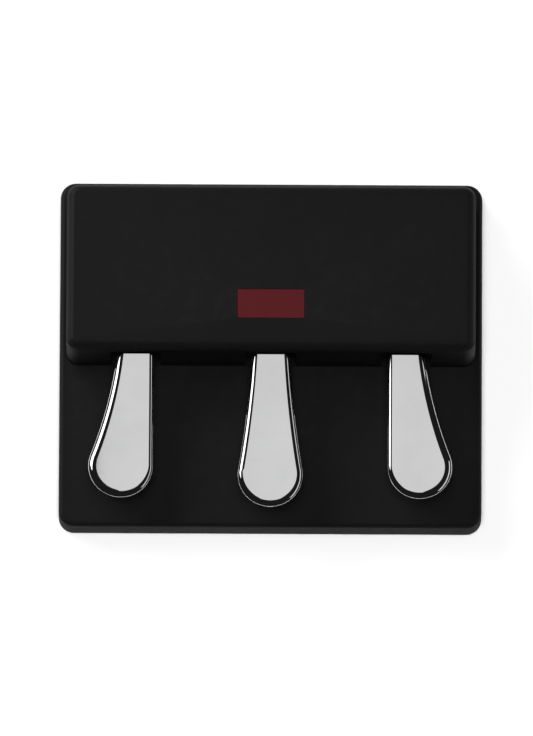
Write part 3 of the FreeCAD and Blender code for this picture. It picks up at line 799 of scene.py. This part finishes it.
def makeCoverBox():
    low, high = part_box("housing_cover")
    corner, edge, wall = coverBox["cornerRadius"], coverBox["edgeRadius"], coverBox["wall"]
    steps = coverBox["cornerSteps"]
    front, rear = steps, 3 * steps + 2
    mesh = bmesh.new()

    def skin(profile):
        return addSkin(mesh, low, high, corner, steps, profile)

    outer = skin([(0, low.z), (0, high.z - edge)])
    inner = skin([(wall, low.z), (wall, high.z - edge)])
    for lower, upper in (outer, inner):
        joinRings(mesh, lower, upper, skip=(front, rear))
    joinRings(mesh, outer[0], inner[0], skip=(front,))
    slots = [addSlot(mesh, pedalCentre(side), low) for side in sides]
    addFrontPanels(mesh, outer, inner, slots)
    addRearPanels(mesh, outer, inner, high.y)

    # Over the edge, across the top and down into the badge's pocket
    badgeLow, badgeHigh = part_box("badge_plate")
    gap = coverBox["badgeGap"]
    top = upperEdge(edge, high.z, coverBox["edgeSteps"])[1:] + [(edge + coverBox["topMargin"], high.z)]
    rings = outer[1:] + skin(top)
    rings += addSkin(mesh, badgeLow, badgeHigh, coverBox["badgeCorner"], steps,
                     [(-gap, high.z), (-gap, badgeLow.z)])
    joinAll(mesh, rings)
    mesh.faces.new(rings[-1])

    under = upperEdge(edge - wall, high.z - wall, coverBox["edgeSteps"])[1:]
    rings = inner[1:] + skin([(wall + inset, z) for inset, z in under])
    joinAll(mesh, rings)
    mesh.faces.new(rings[-1])

    for x, y in coverBossPlaces(low, high):
        addPost(mesh, x, y, low.z, high.z - wall + postSink, coverBox["bossRadius"], coverBox["bossBore"],
                coverBox["bossBoreDepth"])
    piece = finishPiece("coverBoxShell", mesh, "base", "satin_black_housing")
    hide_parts("housing_cover")


makeCoverBox()
print("cover box made")


# Base tray

baseTray = {
    "cornerRadius": 11 * mm, "edgeRadius": 3 * mm, "footRadius": 1.4 * mm, "wall": 3 * mm,
    "cornerSteps": 16, "edgeSteps": 10, "footSteps": 5, "topMargin": 1.2 * mm,
    "grooveOutside": 0.5 * mm, "grooveInside": 0.5 * mm, "grooveDepth": 0.8 * mm,
    "bossRadius": 4.5 * mm, "bossBore": 2.05 * mm, "bossBoreDepth": 8 * mm, "bossDepth": 10 * mm,
    "plateBossInset": 11 * mm, "plateBossRows": (-0.9, -0.3, 0.3, 0.9),
    "bracketBossSpread": 35 * mm, "bracketBossInset": 9 * mm,
}


def trayBossPlaces(low, high):
    # Places of the bosses for the bottom plate, then those for the brackets
    across = high.x - baseTray["wall"] - baseTray["plateBossInset"]
    plate = [(side * across, row * high.y) for side in (-1, 1) for row in baseTray["plateBossRows"]]
    inset = baseTray["bracketBossInset"]
    upper = []
    for side in sides:
        front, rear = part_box(f"{side}_pivot_bracket")
        for half in (-0.5, 0.5):
            x = pedalCentre(side) + half * baseTray["bracketBossSpread"]
            upper += [(x, front.y + inset), (x, rear.y - inset)]
    return plate, upper


def makeBaseTray():
    low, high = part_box("base_cover")
    edge, wall, steps = baseTray["edgeRadius"], baseTray["wall"], baseTray["cornerSteps"]
    mesh = bmesh.new()

    def skin(profile):
        return addSkin(mesh, low, high, baseTray["cornerRadius"], steps, profile)

    profile = lowerEdge(baseTray["footRadius"], low.z, baseTray["footSteps"])
    profile += upperEdge(edge, high.z, baseTray["edgeSteps"])
    profile.append((edge + baseTray["topMargin"], high.z))
    rings = skin(profile)
    # A fine groove round the foot of the cover box
    boxLow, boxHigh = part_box("housing_cover")
    floor = high.z - baseTray["grooveDepth"]
    outside, inside = -baseTray["grooveOutside"], baseTray["grooveInside"]
    rings += addSkin(mesh, boxLow, boxHigh, coverBox["cornerRadius"], steps,
                     [(outside, high.z), (outside, floor), (inside, floor), (inside, high.z)])
    joinAll(mesh, rings)
    mesh.faces.new(rings[-1])
    ceiling = high.z - wall
    hollow = skin([(wall, low.z), (wall, ceiling)])
    joinAll(mesh, rings[:1] + hollow)
    mesh.faces.new(hollow[-1])

    plate, upper = trayBossPlaces(low, high)
    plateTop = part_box("bottom_plate")[1].z
    for x, y in plate:
        addPost(mesh, x, y, plateTop, ceiling + postSink, baseTray["bossRadius"], baseTray["bossBore"],
                baseTray["bossBoreDepth"])
    for x, y in upper:
        addPost(mesh, x, y, ceiling - baseTray["bossDepth"], ceiling + postSink, baseTray["bossRadius"])
    piece = finishPiece("baseTrayShell", mesh, "base", "satin_black")
    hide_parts("base_cover")


makeBaseTray()
print("base tray made")


# Red plate on the cover box, bare

badgePlate = {
    "cornerRadius": 1.2 * mm, "edgeRadius": 0.25 * mm, "topMargin": 0.4 * mm,
    "cornerSteps": 6, "edgeSteps": 4,
}


def makeBadgePlate():
    low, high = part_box("badge_plate")
    edge = badgePlate["edgeRadius"]
    mesh = bmesh.new()
    profile = [(0, low.z)] + upperEdge(edge, high.z, badgePlate["edgeSteps"])
    profile.append((edge + badgePlate["topMargin"], high.z))
    rings = addSkin(mesh, low, high, badgePlate["cornerRadius"], badgePlate["cornerSteps"], profile)
    joinAll(mesh, rings)
    mesh.faces.new(list(reversed(rings[0])))
    mesh.faces.new(rings[-1])
    piece = finishPiece("redBadgePlate", mesh, "base", "red_enamel")
    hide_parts("badge_plate")


makeBadgePlate()
print("badge plate made")


# Pedals

pedalCasting = {
    "crownRadius": 4.8 * mm, "crownTilt": 51.0, "lowerEdge": 1.0 * mm, "margin": 0.6 * mm,
    "neckWidth": 26.7 * mm, "neckY": -5.0 * mm,
    "riseY": -7.0 * mm, "riseSlope": 8.0, "riseCurve": 16.83 * mm,
    "toeRadius": 23.35 * mm, "toeBlend": 1.3, "sideFlank": 311 * mm, "middleFlank": 800 * mm,
    "toeSteps": 96, "flankSteps": 72, "crownSteps": 14, "edgeSteps": 8, "lowerSteps": 5,
}

# Each stretch of the rim has a wide crown beside the flat, a tight edge below it
# and a side that leans out by the draft
shoulders = {
    "sideFlank": {"crown": 5.0 * mm, "neckCrown": 3.8 * mm, "edge": 1.8 * mm, "draft": 0.5 * mm},
    "middleFlank": {"crown": 4.3 * mm, "neckCrown": 3.5 * mm, "edge": 1.4 * mm, "draft": 0.2 * mm},
    "straight": {"crown": 3.2 * mm, "edge": 1.6 * mm, "draft": 0.3 * mm},
    "toe": {"crown": 5.0 * mm, "edge": 0.6 * mm, "draft": 0.0},
}


def flankArc(toe, rear, flankRadius, shoulder):
    # The hollow flank on the +X side from the toe's circle to the shank's end, and the angle where it
    # leaves the toe
    toeRadius = pedalCasting["toeRadius"]
    neck = Vector((pedalCasting["neckWidth"] / 2, pedalCasting["neckY"]))
    reach = flankRadius + toeRadius
    gap = neck - toe
    along = (reach ** 2 - flankRadius ** 2 + gap.length ** 2) / (2 * gap.length)
    across = math.sqrt(reach ** 2 - along ** 2)
    forward = gap.normalized()
    centre = toe + forward * along + Vector((forward.y, -forward.x)) * across
    start = math.atan2(toe.y - centre.y, toe.x - centre.x) % math.tau
    end = math.pi - math.asin((rear - centre.y) / flankRadius)
    rim = []
    for step in range(pedalCasting["flankSteps"] + 1):
        share = step / pedalCasting["flankSteps"]
        angle = start + (end - start) * share
        inward = Vector((math.cos(angle), math.sin(angle)))
        crown = shoulder["crown"] + (shoulder["neckCrown"] - shoulder["crown"]) * share
        rim.append((centre + inward * flankRadius, inward, {**shoulder, "crown": crown}))
    return rim, start - math.pi


def mirrored(rim):
    return [(Vector((-place.x, place.y)), Vector((-inward.x, inward.y)), shoulder)
            for place, inward, shoulder in reversed(rim)]


def pedalRim(side, low, high):
    # Points round the pedal from its rear on one side, about the toe, to its rear on the other side,
    # each with the way inward and the shoulder there
    toeRadius = pedalCasting["toeRadius"]
    half = pedalCasting["neckWidth"] / 2
    if side == "middle":
        toe = Vector((0.0, low.y + toeRadius))
        outer, toeEnd = flankArc(toe, high.y, pedalCasting["middleFlank"], shoulders["middleFlank"])
        inner = mirrored(outer)
        toeStart = -math.pi - toeEnd
    else:
        toe = Vector((toeRadius - half, low.y + toeRadius))
        outer, toeEnd = flankArc(toe, high.y, pedalCasting["sideFlank"], shoulders["sideFlank"])
        steps = pedalCasting["flankSteps"]
        inner = []
        for step in range(steps + 1):
            y = high.y + (toe.y - high.y) * step / steps
            inner.append((Vector((-half, y)), Vector((1, 0)), shoulders["straight"]))
        toeStart = -math.pi
    front = []
    for step in range(1, pedalCasting["toeSteps"]):
        share = step / pedalCasting["toeSteps"]
        angle = toeStart + (toeEnd - toeStart) * share
        out = Vector((math.cos(angle), math.sin(angle)))
        blend = math.sin(math.pi * share) ** pedalCasting["toeBlend"]
        shoulder = {}
        for key, value in shoulders["toe"].items():
            ends = inner[0][2][key] * (1 - share) + outer[0][2][key] * share
            shoulder[key] = ends + (value - ends) * blend
        front.append((toe + out * toeRadius, -out, shoulder))
    rim = inner + front + outer
    return mirrored(rim) if side == "left" else rim


def neckRise(y):
    # How far the top has climbed at y in the S by which it rises into the cover box
    length = pedalCasting["riseCurve"]
    slope = math.radians(pedalCasting["riseSlope"])
    radius = length / math.sin(slope)
    whole = 2 * radius * (1 - math.cos(slope))
    run = y - pedalCasting["riseY"]
    if run <= -length:
        return 0.0
    if run >= length:
        return whole
    if run < 0:
        return radius - math.sqrt(radius ** 2 - (run + length) ** 2)
    return whole - radius + math.sqrt(radius ** 2 - (length - run) ** 2)


def shoulderCurve(shoulder):
    # A tight edge and then a wide crown, from the rim up to the flat, as insets from the rim
    # and drops from the top
    crown = pedalCasting["crownRadius"]
    tilt = math.radians(pedalCasting["crownTilt"])
    edge = shoulder["edge"]
    edgeWidth, crownDrop = edge * (1 - math.sin(tilt)), crown * (1 - math.cos(tilt))
    points = []
    for step in range(pedalCasting["edgeSteps"]):
        angle = math.pi / 2 + (tilt - math.pi / 2) * step / pedalCasting["edgeSteps"]
        points.append((edge * (1 - math.sin(angle)), crownDrop + edge * (math.cos(tilt) - math.cos(angle))))
    for step in range(pedalCasting["crownSteps"] + 1):
        angle = tilt * (1 - step / pedalCasting["crownSteps"])
        share = 1 - math.sin(angle) / math.sin(tilt)
        points.append((edgeWidth + shoulder["crown"] * share, crown * (1 - math.cos(angle))))
    return [(shoulder["draft"] + inset, drop) for inset, drop in points]


def pedalProfile(shoulder, low, high):
    # Insets from the rim, each with a height and the share of the neck's rise
    top = high.z - neckRise(high.y)
    lower, margin = pedalCasting["lowerEdge"], pedalCasting["margin"]
    levels = [(lower + margin, low.z)] + lowerEdge(lower, low.z, pedalCasting["lowerSteps"])
    rows = [(inset, z, 0.0) for inset, z in levels]
    rows += [(inset, top - drop, 1.0) for inset, drop in shoulderCurve(shoulder)]
    rows.append((rows[-1][0] + margin, top, 1.0))
    return rows


def addPedalTop(mesh, rim):
    # Strips across the blade as far as the toe, then one flat face for the toe
    steps = pedalCasting["flankSteps"]
    for index in range(steps):
        mesh.faces.new((rim[index], rim[index + 1], rim[-index - 2], rim[-index - 1]))
    mesh.faces.new(rim[steps:len(rim) - steps])


def makePedal(side):
    low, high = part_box(f"{side}_pedal")
    centre = pedalCentre(side)
    rim = pedalRim(side, low, high)
    mesh = bmesh.new()
    rows = []
    columns = [pedalProfile(shoulder, low, high) for place, inward, shoulder in rim]
    for level in zip(*columns):
        row = []
        for index, (inset, z, lift) in enumerate(level):
            place, inward, shoulder = rim[index]
            at = place + inward * inset
            y = high.y if index in (0, len(rim) - 1) else at.y
            row.append(mesh.verts.new((centre + at.x, y, z + lift * neckRise(y))))
        rows.append(row)
    for below, above in zip(rows, rows[1:]):
        joinRows(mesh, below, above)
    mesh.faces.new(rows[0])
    mesh.faces.new([row[0] for row in rows] + [row[-1] for row in reversed(rows)])
    addPedalTop(mesh, rows[-1])
    piece = finishPiece(f"{side}PedalCasting", mesh, f"{side}_pedal_body", "pedal_chrome")
    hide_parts(f"{side}_pedal")


for side in sides:
    makePedal(side)
print("pedals made")


# Return springs, which on the unit shorten as their pedals go down; each is built here as one coil of fixed
# length

coilSpring = {
    "wireRadius": 0.8 * mm, "endPitch": 2.2 * mm, "endTurns": 1, "openTurns": 4,
    "turnSteps": 28, "wireSteps": 12,
}


def coilHeights(low, high):
    # Heights of the wire's middle, close at both ends and open between them
    ends, opened = coilSpring["endTurns"], coilSpring["openTurns"]
    seat, crown = low + coilSpring["wireRadius"], high - coilSpring["wireRadius"]
    endRise = ends * coilSpring["endPitch"]
    openPitch = (crown - seat - 2 * endRise) / opened
    heights = []
    for step in range((2 * ends + opened) * coilSpring["turnSteps"] + 1):
        turns = step / coilSpring["turnSteps"]
        below = min(turns, ends)
        middle = min(max(turns - ends, 0), opened)
        above = max(turns - ends - opened, 0)
        heights.append(seat + (below + above) * coilSpring["endPitch"] + middle * openPitch)
    return heights


def makeReturnSpring(side):
    low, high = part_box(f"{side}_return_spring")
    x, y = (low.x + high.x) / 2, (low.y + high.y) / 2
    wire = coilSpring["wireRadius"]
    radius = (high.x - low.x) / 2 - wire
    mesh = bmesh.new()
    rings = []
    for step, height in enumerate(coilHeights(low.z, high.z)):
        angle = math.tau * step / coilSpring["turnSteps"]
        out = Vector((math.cos(angle), math.sin(angle), 0))
        middle = Vector((x, y, height)) + out * radius
        ring = []
        for turn in range(coilSpring["wireSteps"]):
            about = math.tau * turn / coilSpring["wireSteps"]
            lift = Vector((0, 0, wire * math.sin(about)))
            ring.append(mesh.verts.new(middle + out * wire * math.cos(about) + lift))
        rings.append(ring)
    joinAll(mesh, rings)
    mesh.faces.new(rings[0])
    mesh.faces.new(list(reversed(rings[-1])))
    piece = finishPiece(f"{side}CoilSpring", mesh, None, "spring_steel")
    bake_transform(piece)
    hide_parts(f"{side}_return_spring")


for side in sides:
    makeReturnSpring(side)
print("return springs made")


# Non-slip mat under the base: a sheet with ribs, a border and collars round the screw holes

rubberMat = {
    "cornerRadius": 9 * mm, "holeRadius": 4.5 * mm, "ribHeight": 0.7 * mm, "sink": 0.1 * mm,
    "ribPitch": 6 * mm, "ribWidth": 3.6 * mm, "ribTaper": 0.5 * mm, "ribRoundness": 0.97,
    "ribEnd": 126 * mm, "sideRibs": (130.5 * mm, 141.5 * mm),
    "borderInset": 0.6 * mm, "borderWidth": 4 * mm, "bandTaper": 0.12,
    "collarWidth": 1.6 * mm, "collarGap": 1.2 * mm, "collarInset": 0.2 * mm,
    "cornerSteps": 12, "holeSteps": 32, "ribSteps": 4,
}


def bottomScrewPlaces():
    return trayBossPlaces(*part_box("base_cover"))[0]


def addRib(mesh, left, right, y, bottom, top):
    half = rubberMat["ribWidth"] / 2
    rings = addSkin(mesh, (left, y - half), (right, y + half), rubberMat["ribRoundness"] * half,
                    rubberMat["ribSteps"], [(0.0, top), (rubberMat["ribTaper"], bottom)])
    joinAll(mesh, rings)
    mesh.faces.new(rings[0])
    mesh.faces.new(list(reversed(rings[1])))


def addBand(mesh, outer, inner, bottom, top):
    # A raised closed band between two outlines
    share = rubberMat["bandTaper"]
    crest = [[Vector(a).lerp(Vector(b), way) for a, b in zip(outer, inner)] for way in (share, 1 - share)]
    levels = ((outer, top), (crest[0], bottom), (crest[1], bottom), (inner, top))
    joinAll(mesh, [addRing(mesh, outline, z) for outline, z in levels], closed=True)


def makeRubberMat():
    low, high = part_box("rubber_mat")
    radius, steps = rubberMat["holeRadius"], rubberMat["holeSteps"]
    floor = low.z + rubberMat["ribHeight"]
    ribTop = floor + rubberMat["sink"]
    holes = bottomScrewPlaces()
    mesh = bmesh.new()

    def outline(inset):
        return insetOutline(low, high, rubberMat["cornerRadius"], inset, rubberMat["cornerSteps"])

    rims = [addRing(mesh, outline(0), z) for z in (floor, high.z)]
    joinAll(mesh, rims)
    mouths = []
    for x, y in holes:
        pair = [addRing(mesh, circleOutline(x, y, radius, steps), z) for z in (floor, high.z)]
        joinRings(mesh, pair[1], pair[0])
        mouths.append(pair)
    for level in (0, 1):
        fillFlat(mesh, [rims[level]] + [pair[level] for pair in mouths])

    inset, width = rubberMat["borderInset"], rubberMat["borderWidth"]
    addBand(mesh, outline(inset), outline(inset + width), low.z, ribTop)
    collar = radius + rubberMat["collarWidth"]
    for x, y in holes:
        inside = circleOutline(x, y, radius + rubberMat["collarInset"], steps)
        addBand(mesh, circleOutline(x, y, collar, steps), inside, low.z, ribTop)
    clear = collar + rubberMat["collarGap"] + rubberMat["ribWidth"] / 2
    pitch, end = rubberMat["ribPitch"], rubberMat["ribEnd"]
    near, far = rubberMat["sideRibs"]
    count = int((high.y - inset - width - rubberMat["ribWidth"]) / pitch)
    for row in range(-count, count + 1):
        y = row * pitch
        spans = [(-end, end)]
        if min(abs(y - holeY) for holeX, holeY in holes) > clear:
            spans += [(near, far), (-far, -near)]
        for left, right in spans:
            addRib(mesh, left, right, y, low.z, ribTop)
    piece = finishPiece("ribbedMat", mesh, "base", "mat_rubber")
    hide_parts("rubber_mat")


makeRubberMat()
print("mat made")


# Screws under the base, with domed heads and cross recesses

bottomScrew = {
    "headRadius": 4 * mm, "headHeight": 1.8 * mm, "headEdge": 0.1 * mm,
    "rimHeight": 0.7 * mm, "domeRadius": 2.7 * mm,
    "shankRadius": 2 * mm, "pointLength": 1.0 * mm, "pointRadius": 1.3 * mm,
    "crossReach": 2.0 * mm, "crossHalf": 0.42 * mm, "crossDepth": 1.1 * mm, "crossTaper": 0.45,
    "domeSteps": 6, "steps": 32, "turnStep": 0.7,
}


def crossOutline(x, y, reach, half, turn):
    # Anticlockwise round a cross
    corners = []
    for quarter in range(4):
        for along, across in ((reach, -half), (reach, half), (half, half)):
            angle = turn + quarter * math.pi / 2
            corners.append((x + along * math.cos(angle) - across * math.sin(angle),
                            y + along * math.sin(angle) + across * math.cos(angle)))
    return corners


def addBottomScrew(mesh, x, y, low, high, turn):
    size = bottomScrew
    head, edge, shank = size["headRadius"], size["headEdge"], size["shankRadius"]
    seat = low + size["headHeight"]
    rimZ = seat - size["rimHeight"]
    profile = [(size["pointRadius"], high), (shank, high - size["pointLength"]), (shank, seat),
               (head - edge, seat), (head, seat - edge)]
    for sine, cosine in quarterTurn(size["domeSteps"]):
        radius = size["domeRadius"] + (head - size["domeRadius"]) * cosine
        profile.append((radius, rimZ - (rimZ - low) * sine))
    rings = [addRing(mesh, circleOutline(x, y, radius, size["steps"]), z) for radius, z in profile]
    for upper, lower in zip(rings, rings[1:]):
        joinRings(mesh, lower, upper)
    mesh.faces.new(rings[0])
    cross = []
    for share, z in ((1, low), (size["crossTaper"], low + size["crossDepth"])):
        outline = crossOutline(x, y, size["crossReach"] * share, size["crossHalf"] * share, turn)
        cross.append(addRing(mesh, outline, z))
    joinAll(mesh, cross)
    mesh.faces.new(cross[1])
    fillFlat(mesh, [rings[-1], cross[0]])


def makeBottomScrews():
    low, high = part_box("bottom_screws")
    mesh = bmesh.new()
    for index, (x, y) in enumerate(bottomScrewPlaces()):
        addBottomScrew(mesh, x, y, low.z, high.z, bottomScrew["turnStep"] * index)
    piece = finishPiece("bottomScrewSet", mesh, "base", "screw_steel")
    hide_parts("bottom_screws")


makeBottomScrews()
print("bottom screws made")


# Cable gland in the rear wall

# threadCuts are places along a turn of thread and fluteCuts places along the nose,
# each with the share of the depth that is cut there
cableGland = {
    "threadRadius": 5 * mm, "threadDepth": 0.45 * mm, "threadPitch": 1.5 * mm,
    "threadCuts": ((0.25, 1.0), (0.55, 0.0), (0.70, 0.0), (1.0, 1.0)),
    "bore": 2.6 * mm, "boreEdge": 0.3 * mm, "sealInset": 0.8 * mm,
    "hexFlats": 14 * mm, "hexChamfer": 0.6 * mm, "hexRound": 0.9 * mm, "hexEdge": 0.1 * mm,
    "flange": 3 * mm,
    "noseRadius": 4.2 * mm, "noseEdge": 0.6 * mm, "noseSteps": 5,
    "flutes": 12, "fluteDepth": 0.3 * mm, "fluteCuts": ((0.15, 0.7), (0.5, 1.0), (0.85, 0.7)),
    "steps": 96,
}


def glandRing(mesh, y, radius):
    # A closed ring about the gland's axis; the radius is a number, or a function of the angle
    steps = cableGland["steps"]
    ring = []
    for step in range(steps):
        angle = math.tau * step / steps
        x, z = onCircle(0, coverBox["glandHeight"], radius(angle) if callable(radius) else radius, angle)
        ring.append(mesh.verts.new((x, y, z)))
    return ring


def hexRadius(angle):
    # Flats of a hexagon with its corners up and down
    turned = (angle % (math.pi / 3)) - math.pi / 6
    return cableGland["hexFlats"] / 2 / math.cos(turned)


def roundedHex(angle):
    return min(hexRadius(angle), cableGland["hexFlats"] / 2 + cableGland["hexRound"])


def makeCableGland():
    low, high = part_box("cable_gland")
    size = cableGland
    bore, thread, pitch = size["bore"], size["threadRadius"], size["threadPitch"]
    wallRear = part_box("housing_cover")[1].y
    flangeRear = wallRear + size["flange"]
    mesh = bmesh.new()
    rings = []

    def ring(y, radius):
        rings.append(glandRing(mesh, y, radius))

    ring(low.y + size["sealInset"], bore)
    ring(low.y, bore)
    ring(low.y, thread - size["threadDepth"])
    for turn in range(int((wallRear - low.y) / pitch)):
        for share, cut in size["threadCuts"]:
            ring(low.y + turn * pitch + share * pitch, thread - cut * size["threadDepth"])
    ring(wallRear, thread)
    ring(wallRear, roundedHex)
    ring(wallRear + size["hexChamfer"] / 2, hexRadius)
    ring(flangeRear - size["hexChamfer"], hexRadius)
    ring(flangeRear, lambda angle: roundedHex(angle) - size["hexEdge"])
    ring(flangeRear, thread)
    fluted = high.y - size["noseEdge"]
    slope = (thread - size["noseRadius"]) / (high.y - flangeRear)
    for share, cut in size["fluteCuts"]:
        y = flangeRear + (fluted - flangeRear) * share
        radius = thread - slope * (y - flangeRear)
        depth = size["fluteDepth"] * cut
        ring(y, lambda angle: radius - depth * max(0.0, math.cos(angle * size["flutes"])))
    for sine, cosine in quarterTurn(size["noseSteps"]):
        ring(fluted + size["noseEdge"] * sine, size["noseRadius"] - size["noseEdge"] * (1 - cosine))
    ring(high.y, bore + size["boreEdge"])
    ring(high.y - size["boreEdge"], bore)
    ring(high.y - size["sealInset"], bore)
    joinAll(mesh, rings, closed=True)
    piece = finishPiece("glandBody", mesh, "base", "gland_black")
    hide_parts("cable_gland")


makeCableGland()
print("cable gland made")


bpy.context.scene.view_settings.view_transform = "Standard"
